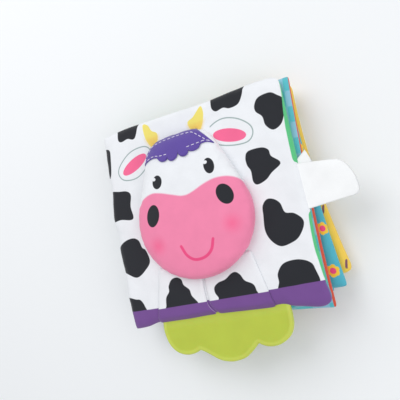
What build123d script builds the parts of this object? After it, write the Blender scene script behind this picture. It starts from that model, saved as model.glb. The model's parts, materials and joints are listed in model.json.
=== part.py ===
from build123d import *
from math import cos, radians, sin
import os

# Soft cloth teether book with a cow on its front cover, lying closed on its back cover.
# Millimetres. The origin is the centre of the back cover's underside. +X runs from the spine to the open
# edge, +Y to the top of the covers and +Z up through the leaves to the cow.

# Covers
cover_width = 155.0
cover_height = 160.0
cover_thickness = 6.5
cover_corner = 8.0
open_edge_pull = 3.0  # how far the sewn open edge draws in between its corners
top_edge_bow = 1.8  # how far the top edge stands out between its corners
pad_roundness = 0.47  # each rounded edge of a flat pad takes this share of its thickness

# Leaves, from the top one down
leaf_thickness = 6.3
leaf_gap = 1.0
leaf_corner = 5.0
# How far each leaf stands out past the cover's open edge: at its top, half way down and at its bottom
leaf_overhangs = [(4.5, 2.5, 2.0), (2.5, 4.0, 9.5), (4.0, 5.0, 15.0)]
# How far each leaf's open edge rises above the cover's top and drops below its bottom
leaf_rises = [2.0, -2.0, 0.0]
leaf_drops = [6.0, -6.0, -13.0]
gutter_inset = 3.0  # the leaves' sewn ends stop this far inside the covers' top and bottom
gutter_width = 6.0  # the sewn strip that joins the leaves

# Spine
spine_width = 6.0
spine_bulge = 2.0
spine_inset = 1.0
spine_corner = 1.5

# Clearances
hinge_clearance = 0.4  # between a swinging cover and the spine
sewn_clearance = 0.2  # round a piece that is caught in a seam

# Head cushion: a round muzzle under a forehead that narrows to the crown
head_x = -9.0  # the crown's place on the cover
head_inset = 17.0  # from the cover's top down to the crown
head_lean = 2.0  # degrees about the crown, chin to the right
head_length = 115.0
head_radius = 47.0
forehead_slope = 20.0  # degrees from upright
forehead_length = 50.0
head_top_corner = 13.0
head_thickness = 15.0
head_dome_radius = 300.0
head_rim_round = 5.0
head_base_round = 1.2

# Hair over the top of the head, measured down from the crown
hair_thickness = 1.8
hair_tail_drop = 18.0
hair_parting_drop = 14.5
hair_scallops = 6
hair_scallop_width = 11.0
hair_scallop_depth = 4.5
scallop_share = 0.42  # a scallop hangs at most this share of its width

# Leg flaps under the chin
legs_x = -9.0
leg_thickness = 2.6
leg_slit = 1.2
leg_tuck = 15.0  # how far the flaps reach up under the head
leg_half_width_top = 39.0
leg_half_width_bottom = 49.0
leg_outer_corner = 9.0
leg_inner_corner = 3.0
leg_edge_round = 1.1

# Teether, hung from the cover's bottom seam
teether_x = -3.0
teether_middle_half_width = 22.5
teether_lobe_width = 27.0
teether_side_taper = 2.0
teether_side_drop = 26.0
teether_middle_drop = 34.5
teether_notch_drop = 23.5
teether_lobe_sag = 2.0
teether_corner = 12.0
corner_share = 0.45  # a lobe's rounded corner takes at most this share of its width
teether_notch_round = 1.5
teether_thickness = 5.0
teether_edge_round = 1.6
teether_rim_width = 3.0
teether_rim_height = 0.6
flange_depth = 8.0
flange_thickness = 2.0
flange_side_inset = 4.0

# Label, caught in the seam of the open edge
label_y = -1.0
label_height = 34.0
label_thickness = 1.6
label_reach = 34.0  # along its lower edge, out from the cover's open edge
label_end_height = 25.0  # at its far end, which leans back towards the cover
label_end_lean = 5.0
label_peak_rise = 7.4  # the under layer's corner stands this far above the seam
label_peak_reach = 9.0
label_notch_reach = 12.5  # where the upper layer's edge comes out past that corner
label_notch_drop = 1.6
label_lift = 3.5  # its far end lies this much higher than the seam's lower end
label_corner = 2.5
label_tuck = 8.0

# Worked out from the sizes above
left = -cover_width / 2
right = cover_width / 2
bottom = -cover_height / 2
top = cover_height / 2
leaf_pitch = leaf_thickness + leaf_gap
leaf_count = len(leaf_overhangs)
front_underside = cover_thickness + leaf_gap + leaf_count * leaf_pitch
front_face = front_underside + cover_thickness
front_seam = front_underside + cover_thickness / 2
gutter = left + spine_width + sewn_clearance
crown_y = top - head_inset
chin_y = crown_y - head_length
muzzle_y = head_radius - head_length
teether_half_width = teether_middle_half_width + teether_lobe_width + teether_side_taper


def on_head(shape):
    """Moves a shape from a frame with the crown at its origin to its place on the front cover's face."""
    return Pos(head_x, crown_y, front_face) * Rot(0, 0, head_lean) * shape


def on_face(shape):
    """Moves a shape of the legs to its place on the front cover's face."""
    return Pos(legs_x, 0, front_face) * shape


def raised(outline, height):
    """A straight block over an outline in plan."""
    return extrude(outline, height, dir=(0, 0, 1))


def pad(outline, thickness, rounding):
    """A flat sewn pad: the outline in plan, with its upper and lower edges rounded over."""
    slab = raised(outline, thickness)
    edges = slab.edges().group_by(Axis.Z)
    return fillet(edges[0] + edges[-1], rounding)


def cover():
    """A padded cover panel: straight along the spine, bowed at the top and drawn in at the open edge."""
    middle_top = (0, top + top_edge_bow)
    middle_side = (right - open_edge_pull, 0)
    sides = [
        Line((left, bottom), (left, top)),
        ThreePointArc((left, top), middle_top, (right, top)),
        ThreePointArc((right, top), middle_side, (right, bottom)),
        Line((right, bottom), (left, bottom)),
    ]
    outline = make_face(sides)
    corners = outline.vertices().group_by(Axis.X)
    outline = fillet(corners[-1], cover_corner)
    return pad(outline, cover_thickness, cover_thickness * pad_roundness)


def leaf(overhangs, rise, drop):
    """One padded leaf on the ground: square at the gutter, with its free edge lying as it fell."""
    out_top, out_middle, out_bottom = overhangs
    gutter_top = (gutter, top - gutter_inset)
    gutter_bottom = (gutter, bottom + gutter_inset)
    free_top = (right + out_top, top + rise)
    free_bottom = (right + out_bottom, bottom - drop)
    free_middle = (right + out_middle, (free_top[1] + free_bottom[1]) / 2)
    sides = [
        Line(gutter_bottom, gutter_top),
        Line(gutter_top, free_top),
        ThreePointArc(free_top, free_middle, free_bottom),
        Line(free_bottom, gutter_bottom),
    ]
    outline = make_face(sides)
    free_corners = outline.vertices().sort_by(Axis.X)[2:]
    outline = fillet(free_corners, leaf_corner)
    return pad(outline, leaf_thickness, leaf_thickness * pad_roundness)


def pages():
    """The leaves, one above the other, joined by the sewn strip at the gutter."""
    strip_length = cover_height - 2 * gutter_inset - leaf_thickness
    strip_height = leaf_count * leaf_pitch - leaf_gap - leaf_thickness
    strip_x = gutter + leaf_thickness / 2 + gutter_width / 2
    strip_z = (front_underside + cover_thickness) / 2
    block = Pos(strip_x, 0, strip_z) * Box(gutter_width, strip_length, strip_height)
    for number in range(leaf_count):
        underside = front_underside - (number + 1) * leaf_pitch
        block += Pos(0, 0, underside) * leaf(leaf_overhangs[number], leaf_rises[number], leaf_drops[number])
    return block


def spine():
    """The padded strip between the covers, bulging a little outwards."""
    low = cover_thickness + hinge_clearance
    high = front_underside - hinge_clearance
    inner = left + spine_width
    sides = [
        Line((inner, low), (left, low)),
        ThreePointArc((left, low), (left - spine_bulge, (low + high) / 2), (left, high)),
        Line((left, high), (inner, high)),
        Line((inner, high), (inner, low)),
    ]
    section = make_face(sides)
    section = fillet(section.vertices(), spine_corner)
    length = cover_height - 2 * spine_inset
    return Pos(0, length / 2, 0) * extrude(Plane.XZ * section, length)


def head_outline(grow):
    """The cushion's outline below its crown, grown outwards by an amount."""
    slope = radians(forehead_slope)
    reach = head_radius + grow
    cheek_x = reach * cos(slope)
    cheek_y = muzzle_y + reach * sin(slope)
    brow_x = head_radius * cos(slope) - forehead_length * sin(slope) + grow * (1 - sin(slope)) / cos(slope)
    brow_y = muzzle_y + head_radius * sin(slope) + forehead_length * cos(slope) + grow
    sides = [
        ThreePointArc((-cheek_x, cheek_y), (0, muzzle_y - reach), (cheek_x, cheek_y)),
        Line((cheek_x, cheek_y), (brow_x, brow_y)),
        ThreePointArc((brow_x, brow_y), (0, grow), (-brow_x, brow_y)),
        Line((-brow_x, brow_y), (-cheek_x, cheek_y)),
    ]
    outline = make_face(sides)
    brow_corners = outline.vertices().group_by(Axis.Y)[-1]
    return fillet(brow_corners, head_top_corner + grow)


def head_form(grow):
    """The domed form of the cushion, grown outwards by an amount, thickest over the muzzle's middle."""
    ball = Rot(0, 90, 0) * Sphere(head_dome_radius + grow)
    dome = Pos(0, muzzle_y, head_thickness - head_dome_radius) * ball
    form = raised(head_outline(grow), head_thickness + grow) & dome
    rim = form.faces().sort_by(Axis.Z)[-1].edges()
    return fillet(rim, head_rim_round + grow)


def head():
    """The stuffed head, hollowed underneath where it lies over the legs."""
    cushion = head_form(0)
    cushion = fillet(cushion.faces().sort_by(Axis.Z)[0].edges(), head_base_round)
    cushion = on_head(cushion)
    for side in (-1, 1):
        room = raised(leg_outline(side, sewn_clearance), leg_thickness + sewn_clearance)
        cushion -= on_face(room)
    return cushion


def hair():
    """The hair's cloth, wrapped over the top of the head, with a scalloped fringe on the forehead."""
    above = head_thickness
    beyond = head_radius + head_thickness
    half_width = hair_scallops * hair_scallop_width / 2
    roots = []
    for number in range(hair_scallops + 1):
        x = number * hair_scallop_width - half_width
        droop = (hair_tail_drop - hair_parting_drop) * (x / half_width) ** 2
        roots.append((x, -hair_parting_drop - droop))
    depth = min(hair_scallop_depth, scallop_share * hair_scallop_width)
    fringe = [SagittaArc(start, end, -depth) for start, end in zip(roots, roots[1:])]
    corners = [
        roots[-1],
        (beyond, -hair_tail_drop),
        (beyond, above),
        (-beyond, above),
        (-beyond, -hair_tail_drop),
        roots[0],
    ]
    block = raised(make_face([*fringe, Polyline(corners)]), head_thickness + hair_thickness)
    cloth = (block & head_form(hair_thickness)) - head_form(sewn_clearance)
    return on_head(cloth)


def leg_outline(side, grow):
    """One leg flap in plan, widening down to its hoof. side is -1 on the left and 1 on the right."""
    inner = leg_slit / 2 - grow
    end = bottom - grow
    start = chin_y + leg_tuck + grow
    points = [
        (inner, start),
        (leg_half_width_top + grow, start),
        (leg_half_width_bottom + grow, end),
        (inner, end),
    ]
    outline = make_face(Polyline([(side * x, y) for x, y in points], close=True))
    outer_corner = outline.vertices().sort_by_distance((side * points[2][0], end))[0]
    outline = fillet(outer_corner, leg_outer_corner)
    inner_corner = outline.vertices().sort_by_distance((side * inner, end))[0]
    return fillet(inner_corner, leg_inner_corner)


def leg(side):
    """A padded leg flap lying on the cover, its top under the head."""
    flap = raised(leg_outline(side, 0), leg_thickness)
    flap = fillet(flap.edges().group_by(Axis.Z)[-1], leg_edge_round)
    return on_face(flap)


def teether_outline(inset):
    """The plate's three lobes below the cover's bottom edge, about its own middle, drawn in by inset."""
    half_width = teether_half_width - inset
    low = inset - teether_side_drop
    shoulder = (half_width, -sewn_clearance - inset)
    heel = (half_width - teether_side_taper, low)
    notch = (teether_middle_half_width, inset - teether_notch_drop)
    lobe_middle = ((heel[0] + notch[0]) / 2, low - teether_lobe_sag)
    middle_tip = (0, inset - teether_middle_drop)
    right_side = [Line(shoulder, heel), ThreePointArc(heel, lobe_middle, notch)]
    left_side = [mirror(edge, Plane.YZ) for edge in right_side]
    far_notch = (-notch[0], notch[1])
    middle = ThreePointArc(notch, middle_tip, far_notch)
    across = Line(shoulder, (-shoulder[0], shoulder[1]))
    outline = make_face([*right_side, middle, *left_side, across])
    corner = min(teether_corner, corner_share * teether_lobe_width) - inset
    for side in (-1, 1):
        outer_corner = outline.vertices().sort_by_distance((side * heel[0], heel[1]))[0]
        outline = fillet(outer_corner, corner)
        inner_corner = outline.vertices().sort_by_distance((side * notch[0], notch[1]))[0]
        outline = fillet(inner_corner, teether_notch_round + inset)
    return outline


def flange(grow):
    """The thin strip of the teether that is caught in the cover's bottom seam."""
    width = 2 * (teether_half_width - flange_side_inset + grow)
    depth = flange_depth + teether_thickness
    strip = Box(width, depth + grow, flange_thickness + 2 * grow)
    return Pos(0, (flange_depth - teether_thickness + grow) / 2, 0) * strip


def hung(shape):
    """Moves a shape of the teether to its place at the cover's bottom seam."""
    return Pos(teether_x, bottom, front_seam) * shape


def teether():
    """The rubber plate: a raised rim round a sunk field on both faces, and the sewn flange above it."""
    plate = pad(teether_outline(0), teether_thickness, teether_edge_round)
    plate = Pos(0, 0, -teether_thickness / 2) * plate
    field = teether_outline(teether_rim_width)
    sunk = teether_thickness / 2 - teether_rim_height
    recess = raised(field, teether_rim_height)
    plate -= Pos(0, 0, sunk) * recess
    plate -= Pos(0, 0, -teether_thickness / 2) * recess
    return hung(plate + flange(0))


def label_outline():
    """The tag in plan: square at the seam, its under layer's corner standing out above its upper layer."""
    seam = right - open_edge_pull
    low = label_y - label_height / 2
    high = label_y + label_height / 2
    far = right + label_reach
    points = [
        (seam - label_tuck, low),
        (right, low),
        (far, low + label_lift),
        (far - label_end_lean, low + label_lift + label_end_height),
        (right + label_notch_reach, high - label_notch_drop),
        (right + label_peak_reach, high + label_peak_rise),
        (seam, high),
        (seam - label_tuck, high),
    ]
    outline = make_face(Polyline(points, close=True))
    outer = outline.vertices().sort_by(Axis.X)[-4:]
    return fillet(outer, label_corner)


def label():
    """The folded cloth tag, two thicknesses pressed flat."""
    tag = raised(label_outline(), label_thickness)
    return Pos(0, 0, front_seam - label_thickness / 2) * tag


def label_pocket():
    """The gap in the open edge's seam that holds the tag."""
    seam = right - open_edge_pull
    width = label_tuck + open_edge_pull + sewn_clearance
    middle = seam - label_tuck - sewn_clearance + width / 2
    gap = Box(width, label_height + 2 * sewn_clearance, label_thickness + 2 * sewn_clearance)
    return Pos(middle, label_y, front_seam) * gap


def front_cover():
    """The front cover, with the gaps in its seams for the teether's flange and the label."""
    panel = Pos(0, 0, front_underside) * cover()
    return panel - hung(flange(sewn_clearance)) - label_pocket()


nodes = {
    "front_cover": front_cover(),
    "back_cover": cover(),
    "spine": spine(),
    "pages": pages(),
    "head": head(),
    "hair": hair(),
    "left_leg": leg(-1),
    "right_leg": leg(1),
    "teether": teether(),
    "label": label(),
}

os.makedirs("parts", exist_ok=True)
for name, solid in nodes.items():
    export_step(solid, f"parts/{name}.step")
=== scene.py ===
import json
import math
from collections import namedtuple

import bpy
import numpy as np
from mathutils import Matrix, Vector
from mathutils.bvhtree import BVHTree


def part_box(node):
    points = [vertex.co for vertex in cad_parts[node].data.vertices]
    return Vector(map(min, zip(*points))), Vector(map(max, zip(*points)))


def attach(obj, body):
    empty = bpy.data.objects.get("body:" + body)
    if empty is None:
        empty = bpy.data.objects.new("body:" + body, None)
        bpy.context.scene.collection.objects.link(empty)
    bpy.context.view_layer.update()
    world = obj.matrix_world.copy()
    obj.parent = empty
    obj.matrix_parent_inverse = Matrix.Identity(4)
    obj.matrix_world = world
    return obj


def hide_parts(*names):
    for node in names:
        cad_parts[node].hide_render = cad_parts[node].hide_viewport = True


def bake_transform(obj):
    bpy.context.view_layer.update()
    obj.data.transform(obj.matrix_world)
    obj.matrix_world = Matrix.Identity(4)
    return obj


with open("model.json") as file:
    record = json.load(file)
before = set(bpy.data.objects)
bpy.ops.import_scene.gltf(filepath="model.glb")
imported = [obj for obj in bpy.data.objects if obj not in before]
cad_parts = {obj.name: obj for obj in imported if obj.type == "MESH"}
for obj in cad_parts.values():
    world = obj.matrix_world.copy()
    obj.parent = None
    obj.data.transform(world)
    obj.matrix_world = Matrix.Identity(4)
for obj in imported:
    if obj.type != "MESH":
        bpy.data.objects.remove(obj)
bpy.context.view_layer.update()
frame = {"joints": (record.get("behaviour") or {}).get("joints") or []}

# Soft cloth teether book with a cow on its front cover, lying closed on its back cover.
# Lengths in this script are millimetres in the part's own frame, and MM turns them into metres.

MM = 0.001


def node_box(node):
    """A node's lowest and highest corners in millimetres."""
    low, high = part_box(node)
    return np.array(low) / MM, np.array(high) / MM


front_low, front_high = node_box("front_cover")
back_low, back_high = node_box("back_cover")
spine_low, spine_high = node_box("spine")
pages_low, pages_high = node_box("pages")

FACE = front_high[2]  # height of the front cover's outer face
SEAM = (front_low[2] + FACE) / 2
BACK_SEAM = (back_low[2] + back_high[2]) / 2
LEFT = front_low[0]
RIGHT = -LEFT
BOTTOM = front_low[1]
TOP = -BOTTOM
HINGE = frame["joints"][0]["pos_m"][0] / MM  # where the covers turn

# Pads of cloth
GRID = 2.5  # size of a square of a pad's grid
COVER_CORNER = 8.0
COVER_EDGE = 8.0  # how far in from its seam a cover reaches its full thickness
LEAF_EDGE = 7.0  # the same for a leaf
SPINE_EDGE = 6.0  # and for the spine
LEAF_GAP = 1.0
GUTTER_INSET = 3.0  # the leaves' sewn ends stop this far inside the covers' top and bottom
BOX_CORNER = 2.0  # radius of the corners that are nearly square
FLOOR_CLEARANCE = 0.02  # between the back cover and the floor

# Unevenness of the stuffing and puckers at the seams
UNEVEN = 0.5
UNEVEN_LENGTH = 15.0
PUCKER = 0.3
PUCKER_LENGTH = 11.0
PUCKER_REACH = 7.0

# Simulated cloth
SIM_SCALE = 10.0
SIM_FRAMES = 20
SIM_HOLD = 0.25  # how firmly each point is tied to where it started
SIM_CLOTH = {
    "quality": 6,
    "mass": 0.3,
    "tension_stiffness": 15,
    "compression_stiffness": 15,
    "shear_stiffness": 5,
    "bending_stiffness": 0.3,
    "use_pressure": True,
    "uniform_pressure_force": 4.0,
    "vertex_group_mass": "hold",
    "pin_stiffness": 0.4,
    "vertex_group_shrink": "seam",
    "shrink_max": 0.05,
}
COVER_GIVE = 1.0  # how far the filling may move a pad's cloth
BACK_GIVE = 0.8
LEAF_GIVE = 0.8
HEAD_GIVE = 1.6

# How the front cover's sewn edges wander: places along an edge, and how far it is cut outside the plain line.
# The filling then draws the edges in by one or two millimetres.
OPEN_EDGE = [(-82, 3.2), (-75, 2.8), (-66, 1.2), (-54, 1.2), (-41, 0.4), (-19, 1.2), (0, 0.8), (25, 0.6),
             (82, 0.6)]
LEFT_EDGE = [(-82, 3.8), (-66, 5.3), (-52, 6.5), (-36, 5.8), (-18, 7.0), (-4, 6.6), (9, 8.0), (21, 6.8),
             (34, 5.1), (48, 5.6), (70, 4.7), (82, 4.6)]
TOP_EDGE = [(-80, 2.0), (-57, 4.8), (-34, 4.7), (-10, 4.4), (13, 3.8), (38, 5.2), (58, 5.8), (80, 4.2)]
BOTTOM_EDGE = [(-80, 2.8), (-66, 2.4), (-55, 0.1), (-31, 0.0), (-10, -0.5), (18, 0.4), (34, 0.9), (44, 1.2),
               (50, 3.0), (57, 4.4), (65, 6.0), (70, 6.2), (80, 4.4)]
EDGE_REACH = 34.0  # how far into the pad an edge's wander is felt
BACK_WANDER = 0.3  # the back cover's edges wander by this share of the front's
# Width of the lining that shows where it rolls over the open edge, apart from where the label is sewn in
LINING_ROLL = [(-82, 1.0), (-74, 1.0), (-66, 1.6), (-54, 2.8), (-41, 2.8), (-22, 2.6), (-17, -1.0), (0, -1.0),
               (14, -1.0), (18, 3.6), (26, 4.2), (47, 3.6), (69, 1.4), (82, 1.0)]

# Leaves, from the top one down: how far each stands past the cover's open edge at its top, middle and bottom,
# how far its free edge rises above the cover's top and drops below its bottom, and its free corners' radius
Leaf = namedtuple("Leaf", "name overhangs rise drop corner")
LEAVES = [
    Leaf("leaf_1", (6.4, 2.9, 2.6), 4.5, 9.0, 3.5),
    Leaf("leaf_2", (2.5, 5.4, 12.2), -2.0, -3.6, 4.0),
    Leaf("leaf_3", (5.0, 7.0, 18.4), 4.5, -12.6, 8.0),
]
# Width of the first leaf's red border along its free edge
RED_EDGE = [(-88, 2.6), (-40, 2.6), (0, 2.0), (40, 1.3), (84, 1.3)]
CHECK = 12.0
FLOWER_REACH = 3.0  # from a flower's middle to its petals'
FLOWER_EYE = 2.3
PETALS = 6
PETAL_SIZE = 0.62  # a petal's radius as a share of the flower's reach
PETAL_TURN = 15  # degrees
DASH_WIDTH = 1.6
DASH_HALF = (1.1, 2.8)  # from a dash's middle to its end

# Head cushion, in a frame with its crown at the origin
CROWN = np.array([-10.0, 63.0])
HEAD_LEAN = math.radians(2.0)
HEAD_HALF = [(0, 0), (15, -0.8), (25.5, -6), (31.3, -16), (40, -39), (45.2, -52), (48, -68), (45, -84.5),
             (34, -101.2), (17.4, -111.8), (0, -115)]
HEAD_MIDDLE = np.array([0.0, -62.0])
HEAD_GRID = (51, 59)  # points across and along
HEAD_GROW = 0.8  # the cloth is cut this much outside the outline
HEAD_HEIGHT = 15.0
HEAD_DOME = 300.0  # radius of the dome
HEAD_PEAK = np.array([0.0, -68.0])
HEAD_RIM = 0.2  # share of the way in from the rim over which the cushion rounds over
HEAD_UNDER_RIM = 0.1  # the same for its underside
HEAD_SEAM = 2.6  # height of the rim's seam over the underside
HEAD_CLEARANCE = 0.2  # between the underside and the cover
HEAD_SETTLED = 0.15  # the least clearance once the cloth has settled
HEAD_OVER_LEGS = 0.5  # how much more room is left over the legs
HEAD_STEP = (4.0, 8.0)  # the underside steps up from this far above the legs' tops, over this length
GATHERS = 44
GATHER_DEPTH = 0.35
GATHER_REACH = 0.09  # share of the way in from the rim over which the gathers fade

# Hair, as its upper edge round the head's top and the roots of its fringe's scallops with their depths
HAIR_EDGE = [(-40.6, 44.4), (-37.4, 51), (-33.8, 58.6), (-29.5, 62), (-20, 63), (-9, 63.4), (3, 62.8),
             (8.5, 60.6), (15, 53.5), (21.2, 45.6)]
LEFT_TAIL = (-31, 46.8)
RIGHT_TAIL = (16.5, 47.4)
FRINGE_ROOTS = [(-24.6, 45.6), (-16.4, 45.2), (-7.3, 47.0), (1.5, 46.0), (11.2, 46.8)]
FRINGE_DEPTHS = [3.8, 5.8, 5.6, 3.4]
SCALLOP_POINTS = 17
SCALLOP_FULLNESS = 0.7  # 1 for half an ellipse, and less for a squarer scallop
HAIR_GRID = (221, 15)  # points along and across
HAIR_CLOTH = 1.0
HAIR_LIFT = 0.25  # between the felt and the head
STITCH = 2.7
STITCH_PITCH = 4.0
STITCH_WIDTH = 0.7
STITCH_SWELL = [0.35, 1, 1, 1, 0.35]  # share of its width from end to end
STITCH_SIDES = 6
STITCH_LIFT = 0.1  # of its middle over the felt
# The row of stitches along the hair's upper edge
HAIR_STITCHES = [(-38, 46.4), (-34.6, 52), (-31, 56.4), (-25, 58.2), (-9, 59.2), (1.5, 59), (6.2, 58),
                 (12.6, 52.4), (18.4, 47)]
# How far the rows along the two tails lie inside the edge
LEFT_ROW_IN = (1.5, 1.3)
RIGHT_ROW_IN = (-1.0, 1.4)

# Leg flaps
LEGS_X = -9.0
LEG_CLOTH = 1.7
LEG_TOP = -37.0
LEG_HALF_TOP = 39.0
LEG_HALF_BOTTOM = 49.0
LEG_CORNER = 4.0
LEG_EDGE = 1.6
LEG_GRID = 1.6
LEG_SEAM = 0.4  # height of its seam over the cover
LEG_CLEARANCE = 0.1  # between its underside and the cover
SLIT = 0.5
SLIT_HIGHLIGHT = 0.9  # half the width of the painted highlight along its edge on the band
# The slit's place between the legs, down its length
SLIT_LINE = [(-84, 4.6), (-77, 1.6), (-71.6, -1.6), (-65.5, -2.5), (-58, -2.8), (-36, -2.3)]

# Teether: its three lobes from the left end of the seam to the right end
TEETHER_LOBES = [
    [(-54.6, -76), (-54.3, -87), (-51.6, -96.5), (-46, -103), (-38.5, -105.8), (-31.5, -105.4),
     (-26.2, -103.4)],
    [(-26.2, -103.4), (-20.8, -106.4), (-12.5, -111.8), (-6.4, -113.8), (-0.2, -114.3), (8.4, -112.6),
     (15, -108.2), (20.2, -103.6)],
    [(20.2, -103.6), (24.5, -105.8), (30, -106.9), (37, -105.8), (44.6, -101), (48.2, -94.3), (49, -86.5),
     (48.7, -76)],
]
TEETHER_GRID = (151, 25)  # points along the lobes and in from them
TEETHER_TOP = -73.0  # its flange ends here, inside the cover's seam
TEETHER_HALF = 2.2  # half its thickness
FLANGE_HALF = 0.7
FLANGE_INSET = 5.0  # its ends lie this far inside the teether's sides
FLANGE_START = 2.0  # it starts to thicken this far above the cover's bottom edge
FLANGE_FADE = 7.0  # and has its full thickness after this length
TEETHER_ROUND = 1.5
RIM_WIDTH = 3.0
RIM_HEIGHT = 0.3
RIM_SLOPE = 0.8  # width over which the rim falls to the sunk field

# Label: its far edge, from the lower corner to the upper one, and its ends at the seam
LABEL_FAR = [(108.6, -14.7), (111.4, -12.6), (112.2, -8.6), (111.2, -1), (109.2, 4.2), (106.4, 8.8),
             (102.5, 12)]
LABEL_SEAM = [(71.0, -17.8), (71.0, 16.4)]
# How far the under layer stands out above the upper one, from the seam to the far end
LABEL_PEAK = [(0.0, -1.0), (0.38, 9.4), (0.48, -1.0), (1.0, 0.0)]
LABEL_GRID = (33, 41)  # points along the seam and out from it
LABEL_CLOTH = 0.4
LABEL_LAYERS = 1.1  # between its two layers
LABEL_FOLD = 12  # the fold takes up one part in this many of its length
LABEL_CURL = 1.6

# Cloth that joins the spine to a cover, as points up the groove between them: how far inside the cover's
# plain edge each lies, and how far from the cover's seam
STRIP_PATH = [(-2.3, 9.0), (-1.8, 7.0), (-0.5, 5.0), (0.9, 3.6), (2.3, 1.6)]
STRIP_CLOTH = 0.4
STRIP_END = BOX_CORNER + 0.5  # it stops this far inside the covers' top and bottom
STRIP_POINTS = 61
EDGE_WRAP = 2  # squares of a cover's grid over which its outer cloth goes round its edge at the spine

# Levels of the prints on the covers and legs
BAND_TOP = -67.5  # the band along the foot
LEG_BAND_TOP = BAND_TOP - 0.8
SLIT_TOP = BAND_TOP - 1.0  # the slit's painted highlight runs down from here
HORN_FOOT = 67.0  # the horns darken below this
LINING_FOOT = -62.0  # the lining turns to teal about here
LINING_ROLL_FOOT = -70.0  # and here where it rolls over the open edge
ELLIPSE_POINTS = 12

# Shading of cloth and rubber
BROAD_SHADE = (0.07, 0.96, 1.02)  # scale of an unevenness of colour, and its lowest and highest levels
FINE_SHADE = (2.2, 0.97, 1.02)
RUBBER_SHADE = (0.06, 0.96, 1.02)
NOISE_RANGE = (0.3, 0.7)  # where most of a noise's values lie
WAVE_TURN = 20  # radians of a wave texture over one unit, at a scale of 1

# Floor and world
FLOOR_REACH = 3.0  # metres from the middle to each side
WORLD_COLOUR = (0.97, 0.985, 1.0, 1.0)
WORLD_STRENGTH = 0.58

# Camera: its place, and the directions in which it looks and is held
CAMERA = np.array([131.1, -42.5, 318.5 + FACE])
CAMERA_AIM = Vector((-0.3821, 0.1439, -0.9129))
CAMERA_UP = Vector((0.233, 0.9709, 0.0555))
CAMERA_VIEW = math.radians(47.5)


def rgb(red, green, blue):
    """A colour given from 0 to 255, as the linear values that shaders take."""
    values = []
    for part in (red, green, blue):
        part /= 255
        values.append(part / 12.92 if part <= 0.04045 else ((part + 0.055) / 1.055) ** 2.4)
    return (*values, 1.0)


WHITE = rgb(238, 240, 244)
LABEL_WHITE = rgb(247, 248, 249)
BLACK = rgb(36, 38, 44)
PINK = rgb(244, 137, 174)
DEEP_PINK = rgb(247, 108, 152)
SMILE_PINK = rgb(238, 78, 132)
HAIR_PURPLE = rgb(96, 74, 162)
STITCH_LILAC = rgb(226, 218, 240)
BAND_PURPLE = rgb(118, 78, 147)
SLIT_HIGHLIGHT_PURPLE = rgb(182, 156, 208)
# Pale purple painted as highlight along the leg slit's edge on the band
LIME = rgb(187, 201, 72)
# Paler lime painted as highlight where the teether's raised rim catches the light
RIM_HIGHLIGHT_LIME = rgb(198, 210, 88)
HORN_YELLOW = rgb(243, 226, 116)
HORN_ORANGE = rgb(243, 206, 104)
EAR_LINE = rgb(150, 170, 168)
TEAL = rgb(82, 178, 198)
TURQUOISE = rgb(92, 190, 202)
PALE_BLUE = rgb(142, 196, 218)
RED = rgb(218, 84, 60)
YELLOW = rgb(243, 205, 86)
PETAL_YELLOW = rgb(246, 200, 62)
BROWN = rgb(128, 84, 104)
GREEN = rgb(92, 198, 132)
FLOOR = rgb(243, 245, 247)


# Curves and printed shapes. A shape tells how far points on the flat cloth lie outside it.


def smooth_curve(points, closed=False, steps=10):
    """Points along a smooth curve through a few points."""
    p = np.array(points, float)
    if closed:
        p = np.vstack([p[-1:], p, p[:2]])
    else:
        p = np.vstack([2 * p[0] - p[1], p, 2 * p[-1] - p[-2]])
    t = np.linspace(0, 1, steps, endpoint=False)[:, None]
    spans = []
    for a, b, c, d in zip(p, p[1:], p[2:], p[3:]):
        bend = a - 2.5 * b + 2 * c - d / 2
        twist = 1.5 * (b - c) + (d - a) / 2
        spans.append(b + (c - a) / 2 * t + bend * t**2 + twist * t**3)
    spans.append(spans[0][:1] if closed else p[-2:-1])
    return np.vstack(spans)


def along(knots, at):
    """The value of a smooth curve of (place, value) knots at each place."""
    line = smooth_curve(knots)
    return np.interp(at, line[:, 0], line[:, 1])


def spread(line, shares):
    """Points at shares of the way along a line."""
    lengths = np.concatenate([[0], np.cumsum(np.linalg.norm(np.diff(line, axis=0), axis=1))])
    return np.column_stack([np.interp(shares * lengths[-1], lengths, values) for values in line.T])


def line_distance(at, line):
    """How far each point lies from a line of points."""
    nearest = np.full(len(at), np.inf)
    for start, step in zip(line[:-1], np.diff(line, axis=0)):
        offset = at - start
        share = np.clip(offset @ step / max(step @ step, 1e-9), 0, 1)
        nearest = np.minimum(nearest, np.hypot(*(offset - share[:, None] * step).T))
    return nearest


def blob(*points):
    """A smooth closed shape through a few points."""
    loop = smooth_curve(points, closed=True)

    def outside(at):
        within = np.zeros(len(at), bool)
        for (x0, y0), (x1, y1) in zip(loop[:-1], loop[1:]):
            if y0 != y1:
                crosses = (y0 > at[:, 1]) != (y1 > at[:, 1])
                within ^= crosses & (at[:, 0] < x0 + (at[:, 1] - y0) / (y1 - y0) * (x1 - x0))
        distance = line_distance(at, loop)
        return np.where(within, -distance, distance)

    return outside


def ellipse(x, y, half_length, half_width, tilt=0.0):
    """An ellipse about a point, its length turned by a tilt in degrees."""
    turn = math.radians(tilt)
    points = []
    for angle in np.linspace(0, 2 * math.pi, ELLIPSE_POINTS, endpoint=False):
        a, b = half_length * math.cos(angle), half_width * math.sin(angle)
        across = a * math.cos(turn) - b * math.sin(turn)
        up = a * math.sin(turn) + b * math.cos(turn)
        points.append((x + across, y + up))
    return blob(*points)


def stroke(width, *points):
    """A line of one width along a smooth curve."""
    line = smooth_curve(points)
    return lambda at: line_distance(at, line) - width / 2


def union(*shapes):
    """All of several shapes."""
    return lambda at: np.min([shape(at) for shape in shapes], axis=0)


def below(level):
    """All that lies below a level."""
    return lambda at: at[:, 1] - level


def foot_of(shape, level):
    """The part of a shape that lies below a level."""
    return lambda at: np.maximum(shape(at), at[:, 1] - level)


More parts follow.
